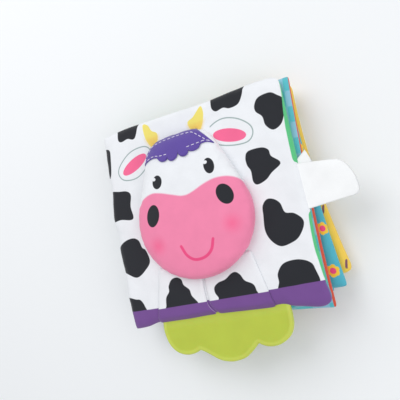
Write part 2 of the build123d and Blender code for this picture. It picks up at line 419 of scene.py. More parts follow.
def checks(size):
    """Every second square of a chequered field."""
    return lambda at: size / math.pi * np.sin(math.pi * at[:, 0] / size) * np.sin(math.pi * at[:, 1] / size)


def flower(x, y, reach):
    """The petals of a flower about a point."""
    petals = []
    size = PETAL_SIZE * reach
    for angle in np.radians(np.arange(PETALS) * 360 / PETALS + PETAL_TURN):
        petals.append(ellipse(x + reach * math.cos(angle), y + reach * math.sin(angle), size, size))
    return union(*petals)


def dash(x, y):
    """A short slanting stroke about a point."""
    a, b = DASH_HALF
    return stroke(DASH_WIDTH, (x + a, y + b), (x, y), (x - a, y - b))


# One layer of a print or of painted highlight: the attribute that holds its shape, its colour, the shape, how
# soft its edge is, and the width of the line along that edge where only the line is printed
Layer = namedtuple("Layer", "name colour shape soft line", defaults=[0.25, 0.0])


# Meshes


def points_of(mesh):
    """A mesh's points in millimetres."""
    values = np.zeros(len(mesh.vertices) * 3)
    mesh.vertices.foreach_get("co", values)
    return values.reshape(-1, 3) / MM


def set_points(mesh, points):
    """Moves a mesh's points to places in millimetres."""
    mesh.vertices.foreach_set("co", (points * MM).ravel())
    mesh.update()


def make_object(name, points, faces, flat):
    """A mesh object of points and faces, which remembers each point's place on the flat cloth."""
    mesh = bpy.data.meshes.new(name)
    mesh.from_pydata(np.asarray(points) * MM, [], [list(face) for face in faces])
    values = np.column_stack([flat, np.zeros(len(flat))])
    mesh.attributes.new("flat", "FLOAT_VECTOR", "POINT").data.foreach_set("vector", values.ravel())
    mesh.shade_smooth()
    piece = bpy.data.objects.new(name, mesh)
    bpy.context.collection.objects.link(piece)
    return piece


def grid_faces(index):
    """The faces of a grid of point numbers. They face up where rows follow y and columns follow x."""
    return np.stack([index[:-1, :-1], index[:-1, 1:], index[1:, 1:], index[1:, :-1]], -1).reshape(-1, 4)


def pillow(name, plan, upper, lower, flat=None):
    """Two sheets of cloth on one grid, sewn together round its border. The upper has the first material."""
    flat = plan if flat is None else flat
    rows, columns = upper.shape
    top = np.arange(rows * columns).reshape(rows, columns)
    under = top.copy()
    inner = under[1:-1, 1:-1]
    inner[:] = rows * columns + np.arange(inner.size).reshape(inner.shape)
    points = np.vstack([np.dstack([plan, upper]).reshape(-1, 3),
                        np.dstack([plan, lower])[1:-1, 1:-1].reshape(-1, 3)])
    printed_at = np.vstack([flat.reshape(-1, 2), flat[1:-1, 1:-1].reshape(-1, 2)])
    faces = np.vstack([grid_faces(top), grid_faces(under)[:, ::-1]])
    piece = make_object(name, points, faces, printed_at)
    piece.data.polygons.foreach_set("material_index", np.repeat([0, 1], len(faces) // 2))
    border = np.unique(np.concatenate([top[0], top[-1], top[:, 0], top[:, -1]]))
    piece.vertex_groups.new(name="seam").add(border.tolist(), 1.0, "REPLACE")
    return piece


def sheet_object(name, points, flat):
    """A single sheet of cloth on a grid of points."""
    index = np.arange(points.shape[0] * points.shape[1]).reshape(points.shape[:2])
    return make_object(name, points.reshape(-1, 3), grid_faces(index), flat.reshape(-1, 2))


def apply_modifiers(piece):
    """Turns a piece's modifiers into its own mesh."""
    evaluated = piece.evaluated_get(bpy.context.evaluated_depsgraph_get())
    mesh = bpy.data.meshes.new_from_object(evaluated)
    piece.modifiers.clear()
    piece.data = mesh
    mesh.shade_smooth()
    return piece


def subdivided(piece):
    """Refines a piece once."""
    piece.modifiers.new("finer", "SUBSURF").levels = 1
    return apply_modifiers(piece)


def thickened(piece, thickness):
    """Gives a single sheet its thickness, half to each side."""
    solid = piece.modifiers.new("thickness", "SOLIDIFY")
    solid.thickness = thickness * MM
    solid.offset = 0.0
    return apply_modifiers(piece)


def tree_of(piece):
    """A piece's surface, for casting rays at it."""
    return BVHTree.FromObject(piece, bpy.context.evaluated_depsgraph_get())


def heights_on(tree, plan, default):
    """The height of a surface under each point of a plan, or a default where the surface ends."""
    heights = np.full(plan.shape[:-1], float(default))
    for place in np.ndindex(heights.shape):
        x, y = plan[place] * MM
        hit = tree.ray_cast(Vector((x, y, 1.0)), Vector((0, 0, -1)))[0]
        if hit:
            heights[place] = hit.z / MM
    return heights


def settle(pads):
    """Runs the cloth of all pads at once: seams draw up and the filling presses out, up to a pad's give."""
    scene = bpy.context.scene
    copies = []
    for pad, give in pads:
        copy = bpy.data.objects.new(pad.name + "_cloth", pad.data.copy())
        copy.data.transform(Matrix.Scale(SIM_SCALE, 4))
        scene.collection.objects.link(copy)
        seam = [v.index for v in pad.data.vertices if v.groups]
        copy.vertex_groups.new(name="seam").add(seam, 1.0, "REPLACE")
        copy.vertex_groups.new(name="hold").add(range(len(pad.data.vertices)), SIM_HOLD, "REPLACE")
        cloth_run = copy.modifiers.new("cloth", "CLOTH").settings
        for setting, value in SIM_CLOTH.items():
            setattr(cloth_run, setting, value)
        cloth_run.effector_weights.gravity = 0
        copies.append(copy)
    for number in range(1, SIM_FRAMES + 1):
        scene.frame_set(number)
    graph = bpy.context.evaluated_depsgraph_get()
    for (pad, give), copy in zip(pads, copies):
        start = points_of(pad.data)
        shift = points_of(copy.evaluated_get(graph).data) / SIM_SCALE - start
        length = np.linalg.norm(shift, axis=1, keepdims=True)
        set_points(pad.data, start + shift * give * np.tanh(length / give) / np.maximum(length, 1e-6))
        bpy.data.objects.remove(copy)
    scene.frame_set(1)


# Materials


def set_inputs(tree, node, inputs):
    """Sets a node's inputs, or links those that are given another node's output."""
    for key, value in inputs.items():
        if isinstance(value, bpy.types.NodeSocket):
            tree.links.new(value, node.inputs[key])
        else:
            node.inputs[key].default_value = value


def add_node(tree, kind, inputs=None, **settings):
    """A shader node with its settings made and its inputs set or linked."""
    made = tree.nodes.new("ShaderNode" + kind)
    for key, value in settings.items():
        setattr(made, key, value)
    set_inputs(tree, made, inputs or {})
    return made


def mixed(tree, factor, first, second, blend="MIX"):
    """The colour of two mixed colours."""
    mix = add_node(tree, "Mix", {0: factor, 6: first, 7: second}, data_type="RGBA", blend_type=blend)
    return mix.outputs[2]


def shaded(tree, vector, scale, low, high):
    """A grey that varies softly over a surface between two levels."""
    noise = add_node(tree, "TexNoise", {"Vector": vector, "Scale": scale, "Detail": 3.0})
    start, end = NOISE_RANGE
    levels = {"Value": noise.outputs["Fac"], 1: start, 2: end, 3: low, 4: high}
    return add_node(tree, "MapRange", levels).outputs[0]


def weave(tree, vector, pitch):
    """The height of a plain weave of threads at a pitch in millimetres."""
    wave_scale = 2 * math.pi / WAVE_TURN / pitch
    threads = []
    for direction in ("X", "Y"):
        wave = add_node(tree, "TexWave", {"Vector": vector, "Scale": wave_scale}, bands_direction=direction)
        threads.append(wave.outputs["Fac"])
    return add_node(tree, "Math", {0: threads[0], 1: threads[1]}, operation="MULTIPLY").outputs[0]


def layer_mask(tree, layer):
    """1 where a layer is printed and 0 elsewhere."""
    distance = add_node(tree, "Attribute", attribute_name=layer.name).outputs["Fac"]
    if layer.line:
        distance = add_node(tree, "Math", {0: distance}, operation="ABSOLUTE").outputs[0]
    edge = layer.line / 2
    limits = {"Value": distance, 1: edge - layer.soft, 2: edge + layer.soft, 3: 1.0, 4: 0.0}
    return add_node(tree, "MapRange", limits, interpolation_type="SMOOTHSTEP").outputs[0]


def new_material(name):
    """A material with its node tree, its shader and the place of each point on the flat cloth."""
    material = bpy.data.materials.new(name)
    material.use_nodes = True
    tree = material.node_tree
    flat = add_node(tree, "Attribute", attribute_name="flat").outputs["Vector"]
    return material, tree, tree.nodes["Principled BSDF"], flat


def printed_colour(tree, ground, layers):
    """The colour of a ground under the layers of a print."""
    colour = ground
    for layer in layers:
        colour = mixed(tree, layer_mask(tree, layer), colour, layer.colour)
    return colour


def cloth(name, ground, layers=(), pitch=0.55, depth=0.05, sheen=0.25, roughness=0.85):
    """Printed woven cloth: a ground colour under its print, with threads, faint shading and a soft sheen."""
    material, tree, shader, flat = new_material(name)
    colour = printed_colour(tree, ground, layers)
    for shade in (BROAD_SHADE, FINE_SHADE):
        colour = mixed(tree, 1.0, colour, shaded(tree, flat, *shade), "MULTIPLY")
    threads = weave(tree, flat, pitch)
    bump = add_node(tree, "Bump", {"Height": threads, "Strength": 0.6, "Distance": depth * MM})
    set_inputs(tree, shader, {
        "Base Color": colour,
        "Normal": bump.outputs["Normal"],
        "Roughness": roughness,
        "Specular IOR Level": 0.25,
        "Sheen Weight": sheen,
        "Sheen Roughness": 0.5,
    })
    return material


def rubber(name, ground, layers):
    """Soft moulded rubber with a fine grain."""
    material, tree, shader, flat = new_material(name)
    colour = printed_colour(tree, ground, layers)
    colour = mixed(tree, 1.0, colour, shaded(tree, flat, *RUBBER_SHADE), "MULTIPLY")
    grain = add_node(tree, "TexNoise", {"Vector": flat, "Scale": 0.9, "Detail": 2.0})
    bump = add_node(tree, "Bump", {"Height": grain.outputs["Fac"], "Strength": 0.25, "Distance": 0.06 * MM})
    set_inputs(tree, shader, {
        "Base Color": colour,
        "Normal": bump.outputs["Normal"],
        "Roughness": 0.5,
        "Specular IOR Level": 0.35,
        "Subsurface Weight": 0.15,
        "Subsurface Scale": 2.0 * MM,
    })
    return material


def printed(piece, layers):
    """Stores how far each point of a piece lies outside each shape of a print."""
    mesh = piece.data
    flat = np.zeros(len(mesh.vertices) * 3)
    mesh.attributes["flat"].data.foreach_get("vector", flat)
    at = flat.reshape(-1, 3)[:, :2]
    for layer in layers:
        if layer.name not in mesh.attributes:
            mesh.attributes.new(layer.name, "FLOAT", "POINT").data.foreach_set("value", layer.shape(at))


# The prints


HIDE_PATCHES = union(
    blob((-65, 80), (-65, 88), (-45, 88), (-45, 81), (-48, 73), (-51, 71), (-56, 73), (-62, 72), (-65, 74)),
    blob((-92, 66), (-84, 71), (-76, 69), (-75.5, 61), (-79, 46), (-88, 48)),
    blob((-92, 24), (-84, 33), (-72, 31.5), (-65, 30), (-62, 26), (-64, 17), (-63, 8), (-66, 6), (-75, 8),
         (-86, 9)),
    blob((-92, -24), (-84, -15), (-75, -10), (-67, -9), (-62, -12), (-60, -18), (-57, -21), (-55, -30),
         (-60, -36), (-69, -41), (-78, -37), (-86, -33)),
    blob((-90, -60), (-82, -56), (-74, -58), (-70, -59), (-67, -64), (-67, -71), (-88, -72)),
    blob((45.5, -57), (51, -51), (61, -50), (69, -53), (72, -58), (72, -71), (45, -71), (45, -63)),
    blob((45, -8), (49, -4), (54, -5), (58, -9), (60, -16), (66, -18), (71, -23), (71, -28), (66, -35),
         (60, -38), (52, -39), (46, -34), (43, -26), (44, -15)),
    blob((40, 30), (43, 34), (53, 34), (58, 31), (59, 26), (64, 21), (64, 18), (57, 14), (52, 10), (45, 8),
         (42, 11), (42, 19), (40, 24)),
    blob((55, 66), (59, 71), (68, 72), (73, 69), (78, 64), (76, 55), (72, 47), (65, 44), (60, 49), (59, 56),
         (55, 61)),
    blob((22, 79), (23, 87), (36, 88), (50, 87), (49, 81), (47, 76), (43, 71), (36, 70), (31, 72), (25, 71),
         (22, 74)),
)
LEG_PATCHES = union(
    blob((-41.5, -52), (-38.1, -47.5), (-33.2, -46.6), (-29.6, -49), (-28.5, -53.2), (-24.4, -57.4),
         (-23.4, -62), (-20, -71), (-46.8, -72), (-46.6, -66.5), (-45.4, -60.4), (-42.1, -56.4)),
    blob((-3.8, -59), (0, -56.1), (6, -54.6), (11.4, -51.2), (15.1, -50.7), (18.2, -53.2), (20.8, -57.9),
         (26.3, -61.3), (27.9, -65.7), (27, -72), (-1, -72), (-2, -67), (-4, -63.2)),
)
EARS = union(
    blob((-70, 46), (-67, 53), (-56, 61), (-43, 62.5), (-37, 58), (-40, 48), (-52, 39), (-65, 39.5)),
    blob((14, 56), (19, 61.5), (29, 64), (40, 60.5), (48.5, 53), (49.5, 46), (44, 41), (31, 42), (19, 47)),
)
INNER_EARS = union(ellipse(-53.5, 50, 13.2, 5.0, 24), ellipse(31.5, 50, 13.4, 5.2, -17))
HORNS = union(
    blob((-39.5, 81), (-35, 78.5), (-32.5, 73), (-28, 69.5), (-29, 63), (-34, 59), (-38.5, 66), (-40, 73)),
    blob((13.5, 80), (14.5, 73), (11.5, 64), (7, 59), (1.5, 64), (0, 70), (5, 72.5), (10, 77)),
)
MUZZLE = blob((-62, 4), (-50.6, 11.5), (-44.4, 17.2), (-35.2, 19.6), (-27, 18), (-17, 14.4), (-8.4, 11.8),
              (-0.7, 13), (8.5, 16.3), (18, 18.5), (26.8, 18), (33, 15.8), (37.5, 11.5), (41, 3.5), (50, -8),
              (60, -70), (-70, -70))
SMILE = stroke(2.2, (-18, -24.8), (-14.5, -32.2), (-8.8, -36.3), (-0.7, -35.8), (5.3, -31.5), (8.2, -24.2))


def lining_roll(at):
    """Where the lining shows as it rolls over the open edge."""
    return RIGHT + along(OPEN_EDGE, at[:, 1]) - at[:, 0] - along(LINING_ROLL, at[:, 1])


def red_border(at):
    """The border along the first leaf's free edge."""
    return RIGHT - at[:, 0] - along(RED_EDGE, at[:, 1])


HIDE_PRINT = [
    Layer("patch", BLACK, HIDE_PATCHES),
    Layer("band", BAND_PURPLE, below(BAND_TOP)),
]
LINING_PRINT = [Layer("lining_foot", TEAL, below(LINING_FOOT), soft=18.0)]
COVER_PRINT = [
    HIDE_PRINT[0],
    Layer("ear", EAR_LINE, EARS, soft=0.35, line=0.9),
    Layer("ear_gap", WHITE, ellipse(13, 54.5, 8.5, 6.5, 90), soft=0.6),
    Layer("inner_ear", DEEP_PINK, INNER_EARS),
    Layer("horn", HORN_YELLOW, HORNS),
    Layer("horn_foot", HORN_ORANGE, foot_of(HORNS, HORN_FOOT), soft=3.0),
    HIDE_PRINT[1],
    Layer("lining_roll", GREEN, lining_roll),
    Layer("lining_roll_foot", TEAL, foot_of(lining_roll, LINING_ROLL_FOOT), soft=2.0),
]
HEAD_PRINT = [
    Layer("muzzle", PINK, MUZZLE, soft=0.8),
    Layer("blush", DEEP_PINK, union(ellipse(-37.4, -21, 4, 4), ellipse(24.6, -16.3, 4, 4)), soft=6.5),
    Layer("nostril", BLACK, union(ellipse(-37, 2.4, 8.6, 5.6, 72), ellipse(23.6, 5.4, 8.0, 6.0, -66))),
    Layer("eye", BLACK, union(ellipse(-28.7, 27.2, 5.4, 4.3, 84), ellipse(15.5, 28.8, 6.2, 4.1, 96))),
    Layer("glint", WHITE, union(ellipse(-31.2, 30.0, 1.6, 1.3), ellipse(12.9, 32, 1.7, 1.4))),
    Layer("smile", SMILE_PINK, SMILE, soft=0.3),
]


def slit_highlight(at):
    """The painted highlight along the slit's edge, where the flap's edge catches the light as it runs through
    the band.
    """
    aside = np.abs(at[:, 0] - LEGS_X - along(SLIT_LINE, at[:, 1]))
    return np.maximum(aside - SLIT_HIGHLIGHT, at[:, 1] - SLIT_TOP)


LEG_PRINT_AND_HIGHLIGHT = [
    Layer("patch", BLACK, LEG_PATCHES),
    Layer("band", BAND_PURPLE, below(LEG_BAND_TOP)),
    # Painted highlight along the slit's edge on the band
    Layer("slit_highlight", SLIT_HIGHLIGHT_PURPLE, slit_highlight),
]
FLOWERS = [(73, y) for y in (60.5, 29.5, -1.5, -32.3)] + [(70.6, -63.2)]
DASHES = [(73.5, y) for y in (66, 24, -18.4, -60.6)]
CHECK_PRINT = [
    Layer("check", PALE_BLUE, checks(CHECK)),
    Layer("red_border", RED, red_border),
]
FLOWER_PRINT = [
    Layer("petal", PETAL_YELLOW, union(*[flower(x, y, FLOWER_REACH) for x, y in FLOWERS])),
    Layer("flower_eye", SMILE_PINK, union(*[ellipse(x, y, FLOWER_EYE, FLOWER_EYE) for x, y in FLOWERS])),
]
DASH_PRINT = [Layer("dash", BROWN, union(*[dash(x, y) for x, y in DASHES]))]
# Each leaf's ground colour, its print and the colour of its back
LEAF_PRINTS = {
    "leaf_1": (TURQUOISE, CHECK_PRINT, RED),
    "leaf_2": (TEAL, FLOWER_PRINT, TEAL),
    "leaf_3": (YELLOW, DASH_PRINT, YELLOW),
}


# Pads


def rise(share):
    """The height of a rounded edge, from 0 at the seam to 1 where the pad has its full thickness."""
    return np.sqrt(1 - (1 - np.clip(share, 0, 1)) ** 2)


def smooth_step(share):
    """A smooth change from 0 to 1."""
    share = np.clip(share, 0, 1)
    return share * share * (3 - 2 * share)


def unevenness(x, y):
    """How the stuffing lies thicker and thinner, from -1 to 1."""
    a, b = x / UNEVEN_LENGTH, y / UNEVEN_LENGTH
    return (np.sin(1.3 * a + 1.4 * np.sin(0.9 * b)) + np.sin(1.1 * b + 1.6 * np.sin(0.8 * a + 2))) / 2


def puckers(x, y, width, height):
    """The small folds that run in from a rectangle's sewn edges, from -1 to 1."""
    step = 2 * math.pi / PUCKER_LENGTH
    from_side = np.exp(-(width / 2 - np.abs(x)) / PUCKER_REACH) * np.sin(step * y + 1.5 * np.sin(y / 13))
    from_end = np.exp(-(height / 2 - np.abs(y)) / PUCKER_REACH) * np.sin(step * x + 1.5 * np.sin(x / 11 + 1))
    return from_side + from_end


def rectangle(width, height, edge, corners, step=GRID):
    """A grid over a rectangle about the origin with rounded corners, and its pad's height from 0 to 1."""
    columns = np.linspace(-width / 2, width / 2, round(width / step) + 1)
    rows = np.linspace(-height / 2, height / 2, round(height / step) + 1)
    x, y = np.meshgrid(columns, rows)
    full = rise((width / 2 - np.abs(x)) / edge) * rise((height / 2 - np.abs(y)) / edge)
    for (side_x, side_y), radius in corners.items():
        a = np.clip((side_x * x - width / 2 + radius) / radius, 0, 1)
        b = np.clip((side_y * y - height / 2 + radius) / radius, 0, 1)
        corner = (a > 0) & (b > 0)
        round_a = a * np.sqrt(1 - b**2 / 2)
        round_b = b * np.sqrt(1 - a**2 / 2)
        x = np.where(corner, side_x * (width / 2 - radius + radius * round_a), x)
        y = np.where(corner, side_y * (height / 2 - radius + radius * round_b), y)
    return x, y, full


def foot_wander(x, y):
    """How far the cover's wandering bottom edge moves points near it down."""
    return along(BOTTOM_EDGE, x) * np.clip(1 - (y - BOTTOM) / EDGE_REACH, 0, 1)


def cover(name, low, high, seam, wander, outside):
    """A cover panel, its edges wandering as they were sewn. outside is the number of its outer cloth."""
    width = RIGHT - LEFT
    height = TOP - BOTTOM
    corners = {(1, 1): COVER_CORNER, (1, -1): COVER_CORNER, (-1, 1): BOX_CORNER, (-1, -1): BOX_CORNER}
    x, y, full = rectangle(width, height, COVER_EDGE, corners)
    to_right = along(OPEN_EDGE, y) * np.clip(1 - (RIGHT - x) / EDGE_REACH, 0, 1)
    to_left = along(LEFT_EDGE, y) * np.clip(1 - (x - LEFT) / EDGE_REACH, 0, 1)
    to_top = along(TOP_EDGE, x) * np.clip(1 - (TOP - y) / EDGE_REACH, 0, 1)
    plan = np.dstack([x + wander * (to_right - to_left), y + wander * (to_top - foot_wander(x, y))])
    relief = UNEVEN * (unevenness(x, y) - 1) + PUCKER * puckers(x, y, width, height)
    piece = pillow(name, plan, seam + (high + relief - seam) * full, seam + (low - seam) * full)
    cloths = np.zeros((2, x.shape[0] - 1, x.shape[1] - 1), int)
    cloths[1] = 1
    cloths[:, :, :EDGE_WRAP] = outside
    piece.data.polygons.foreach_set("material_index", cloths.ravel())
    return piece


def leaf(form, low, high):
    """One leaf: square at the gutter, its free edge lying as it fell. Its print runs along the free edge."""
    out_top, out_middle, out_bottom = form.overhangs
    gutter = pages_low[0]
    width = RIGHT - gutter
    height = 2 * (TOP - GUTTER_INSET)
    corners = {(1, 1): form.corner, (1, -1): form.corner, (-1, 1): BOX_CORNER, (-1, -1): BOX_CORNER}
    x, y, full = rectangle(width, height, LEAF_EDGE, corners)
    out = x / width + 0.5
    up = y / height + 0.5
    bulge = out_middle - (out_top + out_bottom) / 2
    reach = out_bottom + (out_top - out_bottom) * up + bulge * 4 * up * (1 - up)
    grow = (form.rise + GUTTER_INSET) * up - (form.drop + GUTTER_INSET) * (1 - up)
    plan = np.dstack([gutter + (width + reach) * out, y + grow * out])
    flat = np.dstack([RIGHT + (width + reach) * (out - 1), plan[..., 1]])
    relief = UNEVEN * (unevenness(x + 40, y) - 1) + PUCKER * puckers(x, y, width, height)
    middle = (low + high) / 2
    upper = middle + (high + relief - middle) * full
    lower = middle + (low - middle) * full
    return pillow(form.name, plan, upper, lower, flat)


def head_place(points):
    """Points of the head's own frame, moved to their place on the cover."""
    c, s = math.cos(HEAD_LEAN), math.sin(HEAD_LEAN)
    x, y = points[..., 0], points[..., 1]
    return np.stack([CROWN[0] + c * x - s * y, CROWN[1] + s * x + c * y], -1)


def head():
    """The stuffed head: a domed cushion, gathered at its rim, whose foot lies over the legs."""
    half = np.array(HEAD_HALF, float)
    mirrored = half[-2:0:-1] * (-1, 1)
    loop = smooth_curve(np.vstack([half, mirrored]), closed=True) - HEAD_MIDDLE
    angles = np.arctan2(loop[:, 1], loop[:, 0])
    order = np.argsort(angles)
    u, v = np.meshgrid(*[np.linspace(-1, 1, count) for count in HEAD_GRID])
    a, b = u * np.sqrt(1 - v**2 / 2), v * np.sqrt(1 - u**2 / 2)
    share = np.hypot(a, b)
    turn = np.arctan2(b, a)
    reach = HEAD_GROW + np.interp(turn, angles[order], np.hypot(*loop[order].T), period=2 * math.pi)
    own = np.dstack([a * reach, b * reach]) + HEAD_MIDDLE
    plan = head_place(own)
    fade = np.exp(-(((1 - share) / GATHER_REACH) ** 2))
    gathered = GATHER_DEPTH * np.sin(GATHERS * turn + 2 * np.sin(5 * turn)) * fade
    off_seam = share < 0.999
    dome = HEAD_HEIGHT - HEAD_DOME + np.sqrt(HEAD_DOME**2 - ((own - HEAD_PEAK) ** 2).sum(-1))
    above, length = HEAD_STEP
    over_legs = smooth_step((LEG_TOP + above - plan[..., 1]) / length)
    foot = FACE + HEAD_CLEARANCE + (LEG_CLOTH + HEAD_OVER_LEGS) * over_legs
    seam = foot + HEAD_SEAM
    upper = seam + gathered * off_seam + (FACE + dome - seam) * rise((1 - share) / HEAD_RIM)
    lower = seam + (foot - seam) * rise((1 - share) / HEAD_UNDER_RIM)
    return pillow("head_cushion", plan, upper, lower)


def leg(name, side, ground):
    """A leg flap on the cover, widening down to its hoof. side is -1 on the left and 1 on the right."""
    length = LEG_TOP - BOTTOM
    corners = {(1, -1): LEG_CORNER, (-1, -1): BOX_CORNER, (1, 1): BOX_CORNER, (-1, 1): BOX_CORNER}
    x, y, full = rectangle(LEG_HALF_TOP, length, LEG_EDGE, corners, LEG_GRID)
    out = x / LEG_HALF_TOP + 0.5
    level = y + (LEG_TOP + BOTTOM) / 2
    outer = LEG_HALF_TOP + (LEG_HALF_BOTTOM - LEG_HALF_TOP) * (LEG_TOP - level) / length
    inner = SLIT / 2 + side * along(SLIT_LINE, level)
    across = LEGS_X + side * (inner + (outer - inner) * out)
    plan = np.dstack([across, level - foot_wander(across, level)])
    if side < 0:
        plan, full = plan[:, ::-1], full[:, ::-1]
    base = heights_on(ground, plan, SEAM)
    seam = base + LEG_SEAM
    upper = seam + (LEG_CLOTH - LEG_SEAM) * full
    lower = seam - (LEG_SEAM - LEG_CLEARANCE) * full
    return pillow(name, plan, upper, lower)


def spine():
    """The padded strip between the covers, bulging outwards. Its print goes on from the front cover's."""
    length = spine_high[1] - spine_low[1]
    height = spine_high[2] - spine_low[2]
    x, y, full = rectangle(length, height, SPINE_EDGE, {})
    middle = (spine_low[2] + spine_high[2]) / 2
    seam = (LEFT + spine_high[0]) / 2
    outward = seam - spine_low[0]
    inward = seam - spine_high[0]
    flat = np.dstack([LEFT - along(LEFT_EDGE, -x) - (SEAM - middle - y), -x])
    piece = pillow("spine_strip", np.dstack([x, y]), outward * full, inward * full, flat)
    points = points_of(piece.data)
    set_points(piece.data, np.column_stack([seam - points[:, 2], -points[:, 0], middle + points[:, 1]]))
    return piece


def teether():
    """The lobed rubber piece, thinning to a flange in the cover's bottom seam, and the layer of painted
    highlight along its raised rim.
    """
    edge = np.vstack([smooth_curve(lobe)[:-1] for lobe in TEETHER_LOBES] + [TEETHER_LOBES[-1][-1:]])
    count, rows = TEETHER_GRID
    rim = spread(edge, np.linspace(0, 1, count))
    across = np.linspace(rim[0, 0] + FLANGE_INSET, rim[-1, 0] - FLANGE_INSET, count)
    top = np.column_stack([across, np.full(count, TEETHER_TOP)])
    shares = (np.linspace(1, 0, rows) ** 2)[:, None, None]
    plan = rim + (top - rim) * shares
    inside = line_distance(plan.reshape(-1, 2), edge).reshape(plan.shape[:2])
    grown = smooth_step((BOTTOM + FLANGE_START - plan[..., 1]) / FLANGE_FADE)
    thick = FLANGE_HALF + (TEETHER_HALF - FLANGE_HALF) * grown
    sunk = smooth_step((inside - RIM_WIDTH) / RIM_SLOPE + 0.5)
    raised = RIM_HEIGHT * (1 - sunk) * (thick / TEETHER_HALF)
    full = (thick + raised) * rise(inside / TEETHER_ROUND)
    plan, full = plan[::-1], full[::-1]
    # The rim's paler lime is painted highlight along the raised rim
    rim_highlight = Layer("rim", RIM_HIGHLIGHT_LIME, lambda at: line_distance(at, edge) - RIM_WIDTH, soft=RIM_SLOPE)
    return pillow("teether_lobes", plan, SEAM + full, SEAM - full), rim_highlight


def finish_pad(piece, low, high):
    """Refines a settled pad and keeps it between two levels."""
    subdivided(piece)
    points = points_of(piece.data)
    points[:, 2] = np.clip(points[:, 2], low, high)
    set_points(piece.data, points)


def dress(piece, materials, layers=(), body=None, replaced=None):
    """Gives a piece its print and materials, ties it to its body, and hides the node that it replaces."""
    printed(piece, layers)
    for material in materials:
        piece.data.materials.append(material)
    if body:
        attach(piece, body)
    if replaced:
        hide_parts(replaced)


# Covers, leaves, spine, head, legs and teether


leaf_thickness = (pages_high[2] - pages_low[2] - LEAF_GAP * (len(LEAVES) - 1)) / len(LEAVES)
leaf_tops = [pages_high[2] - number * (leaf_thickness + LEAF_GAP) for number in range(len(LEAVES))]

front_pad = cover("front_cover_pad", front_low[2], FACE, SEAM, 1.0, 0)
back_pad = cover("back_cover_pad", back_low[2], back_high[2], BACK_SEAM, BACK_WANDER, 1)
leaf_pads = [leaf(form, high - leaf_thickness, high) for form, high in zip(LEAVES, leaf_tops)]
spine_pad = subdivided(spine())
head_pad = head()

leaf_gives = [(pad, LEAF_GIVE) for pad in leaf_pads]
settle([(front_pad, COVER_GIVE), (back_pad, BACK_GIVE), *leaf_gives, (head_pad, HEAD_GIVE)])

finish_pad(front_pad, front_low[2], FACE)
finish_pad(back_pad, FLOOR_CLEARANCE, back_high[2])
for pad, high in zip(leaf_pads, leaf_tops):
    finish_pad(pad, high - leaf_thickness, high)
finish_pad(head_pad, FACE + HEAD_SETTLED, FACE + HEAD_HEIGHT)
front_tree = tree_of(front_pad)
left_pad = subdivided(leg("left_leg_flap", -1, front_tree))
right_pad = subdivided(leg("right_leg_flap", 1, front_tree))

front_cloths = [cloth("front_hide", WHITE, COVER_PRINT), cloth("front_lining", GREEN, LINING_PRINT)]
front_layers = COVER_PRINT + LINING_PRINT
dress(front_pad, front_cloths, front_layers, "front_cover", "front_cover")
back_cloths = [cloth("back_lining", GREEN, LINING_PRINT), cloth("back_hide", WHITE, HIDE_PRINT)]
back_layers = HIDE_PRINT + LINING_PRINT
dress(back_pad, back_cloths, back_layers, "back_cover", "back_cover")
for pad in leaf_pads:
    ground, layers, back_ground = LEAF_PRINTS[pad.name]
    leaf_cloths = [cloth(pad.name + "_front", ground, layers), cloth(pad.name + "_back", back_ground)]
    dress(pad, leaf_cloths, layers, "book_block", "pages")
spine_hide = cloth("spine_hide", WHITE, HIDE_PRINT)
dress(spine_pad, [spine_hide, spine_hide], HIDE_PRINT, "book_block", "spine")
head_cloth = cloth("head_cloth", WHITE, HEAD_PRINT)
dress(head_pad, [head_cloth, head_cloth], HEAD_PRINT, "front_cover", "head")
leg_cloth = cloth("leg_cloth", WHITE, LEG_PRINT_AND_HIGHLIGHT)
for pad, node in ((left_pad, "left_leg"), (right_pad, "right_leg")):
    dress(pad, [leg_cloth, leg_cloth], LEG_PRINT_AND_HIGHLIGHT, "front_cover", node)

teether_piece, teether_rim_highlight = teether()
subdivided(teether_piece)
# The teether's rubber, with painted highlight along its raised rim
lime = rubber("teether_rubber", LIME, [teether_rim_highlight])
dress(teether_piece, [lime, lime], [teether_rim_highlight], "front_cover", "teether")


# Hair


def fringe():
    """The hair's lower edge, from its left tail over the scallops to its right tail."""
    line = [smooth_curve([HAIR_EDGE[0], LEFT_TAIL, FRINGE_ROOTS[0]])]
    for start, end, depth in zip(FRINGE_ROOTS, FRINGE_ROOTS[1:], FRINGE_DEPTHS):
        t = np.linspace(0, math.pi, SCALLOP_POINTS)[:, None]
        middle = (np.array(start) + end) / 2
        half = (np.array(end) - start) / 2
        line.append(middle - half * np.cos(t) - np.array([0, depth]) * np.sin(t) ** SCALLOP_FULLNESS)
    line.append(smooth_curve([FRINGE_ROOTS[-1], RIGHT_TAIL, HAIR_EDGE[-1]]))
    return np.vstack(line)


def hair(ground):
    """The hair's felt, laid over the top of the head down to the cover."""
    shares, rows = [np.linspace(0, 1, count) for count in HAIR_GRID]
    low = spread(fringe(), shares)
    high = spread(smooth_curve(HAIR_EDGE), shares)
    plan = low + (high - low) * rows[:, None, None]
    points = np.dstack([plan, heights_on(ground, plan, FACE) + HAIR_LIFT + HAIR_CLOTH / 2])
    return thickened(sheet_object("hair_felt", points, plan), HAIR_CLOTH)


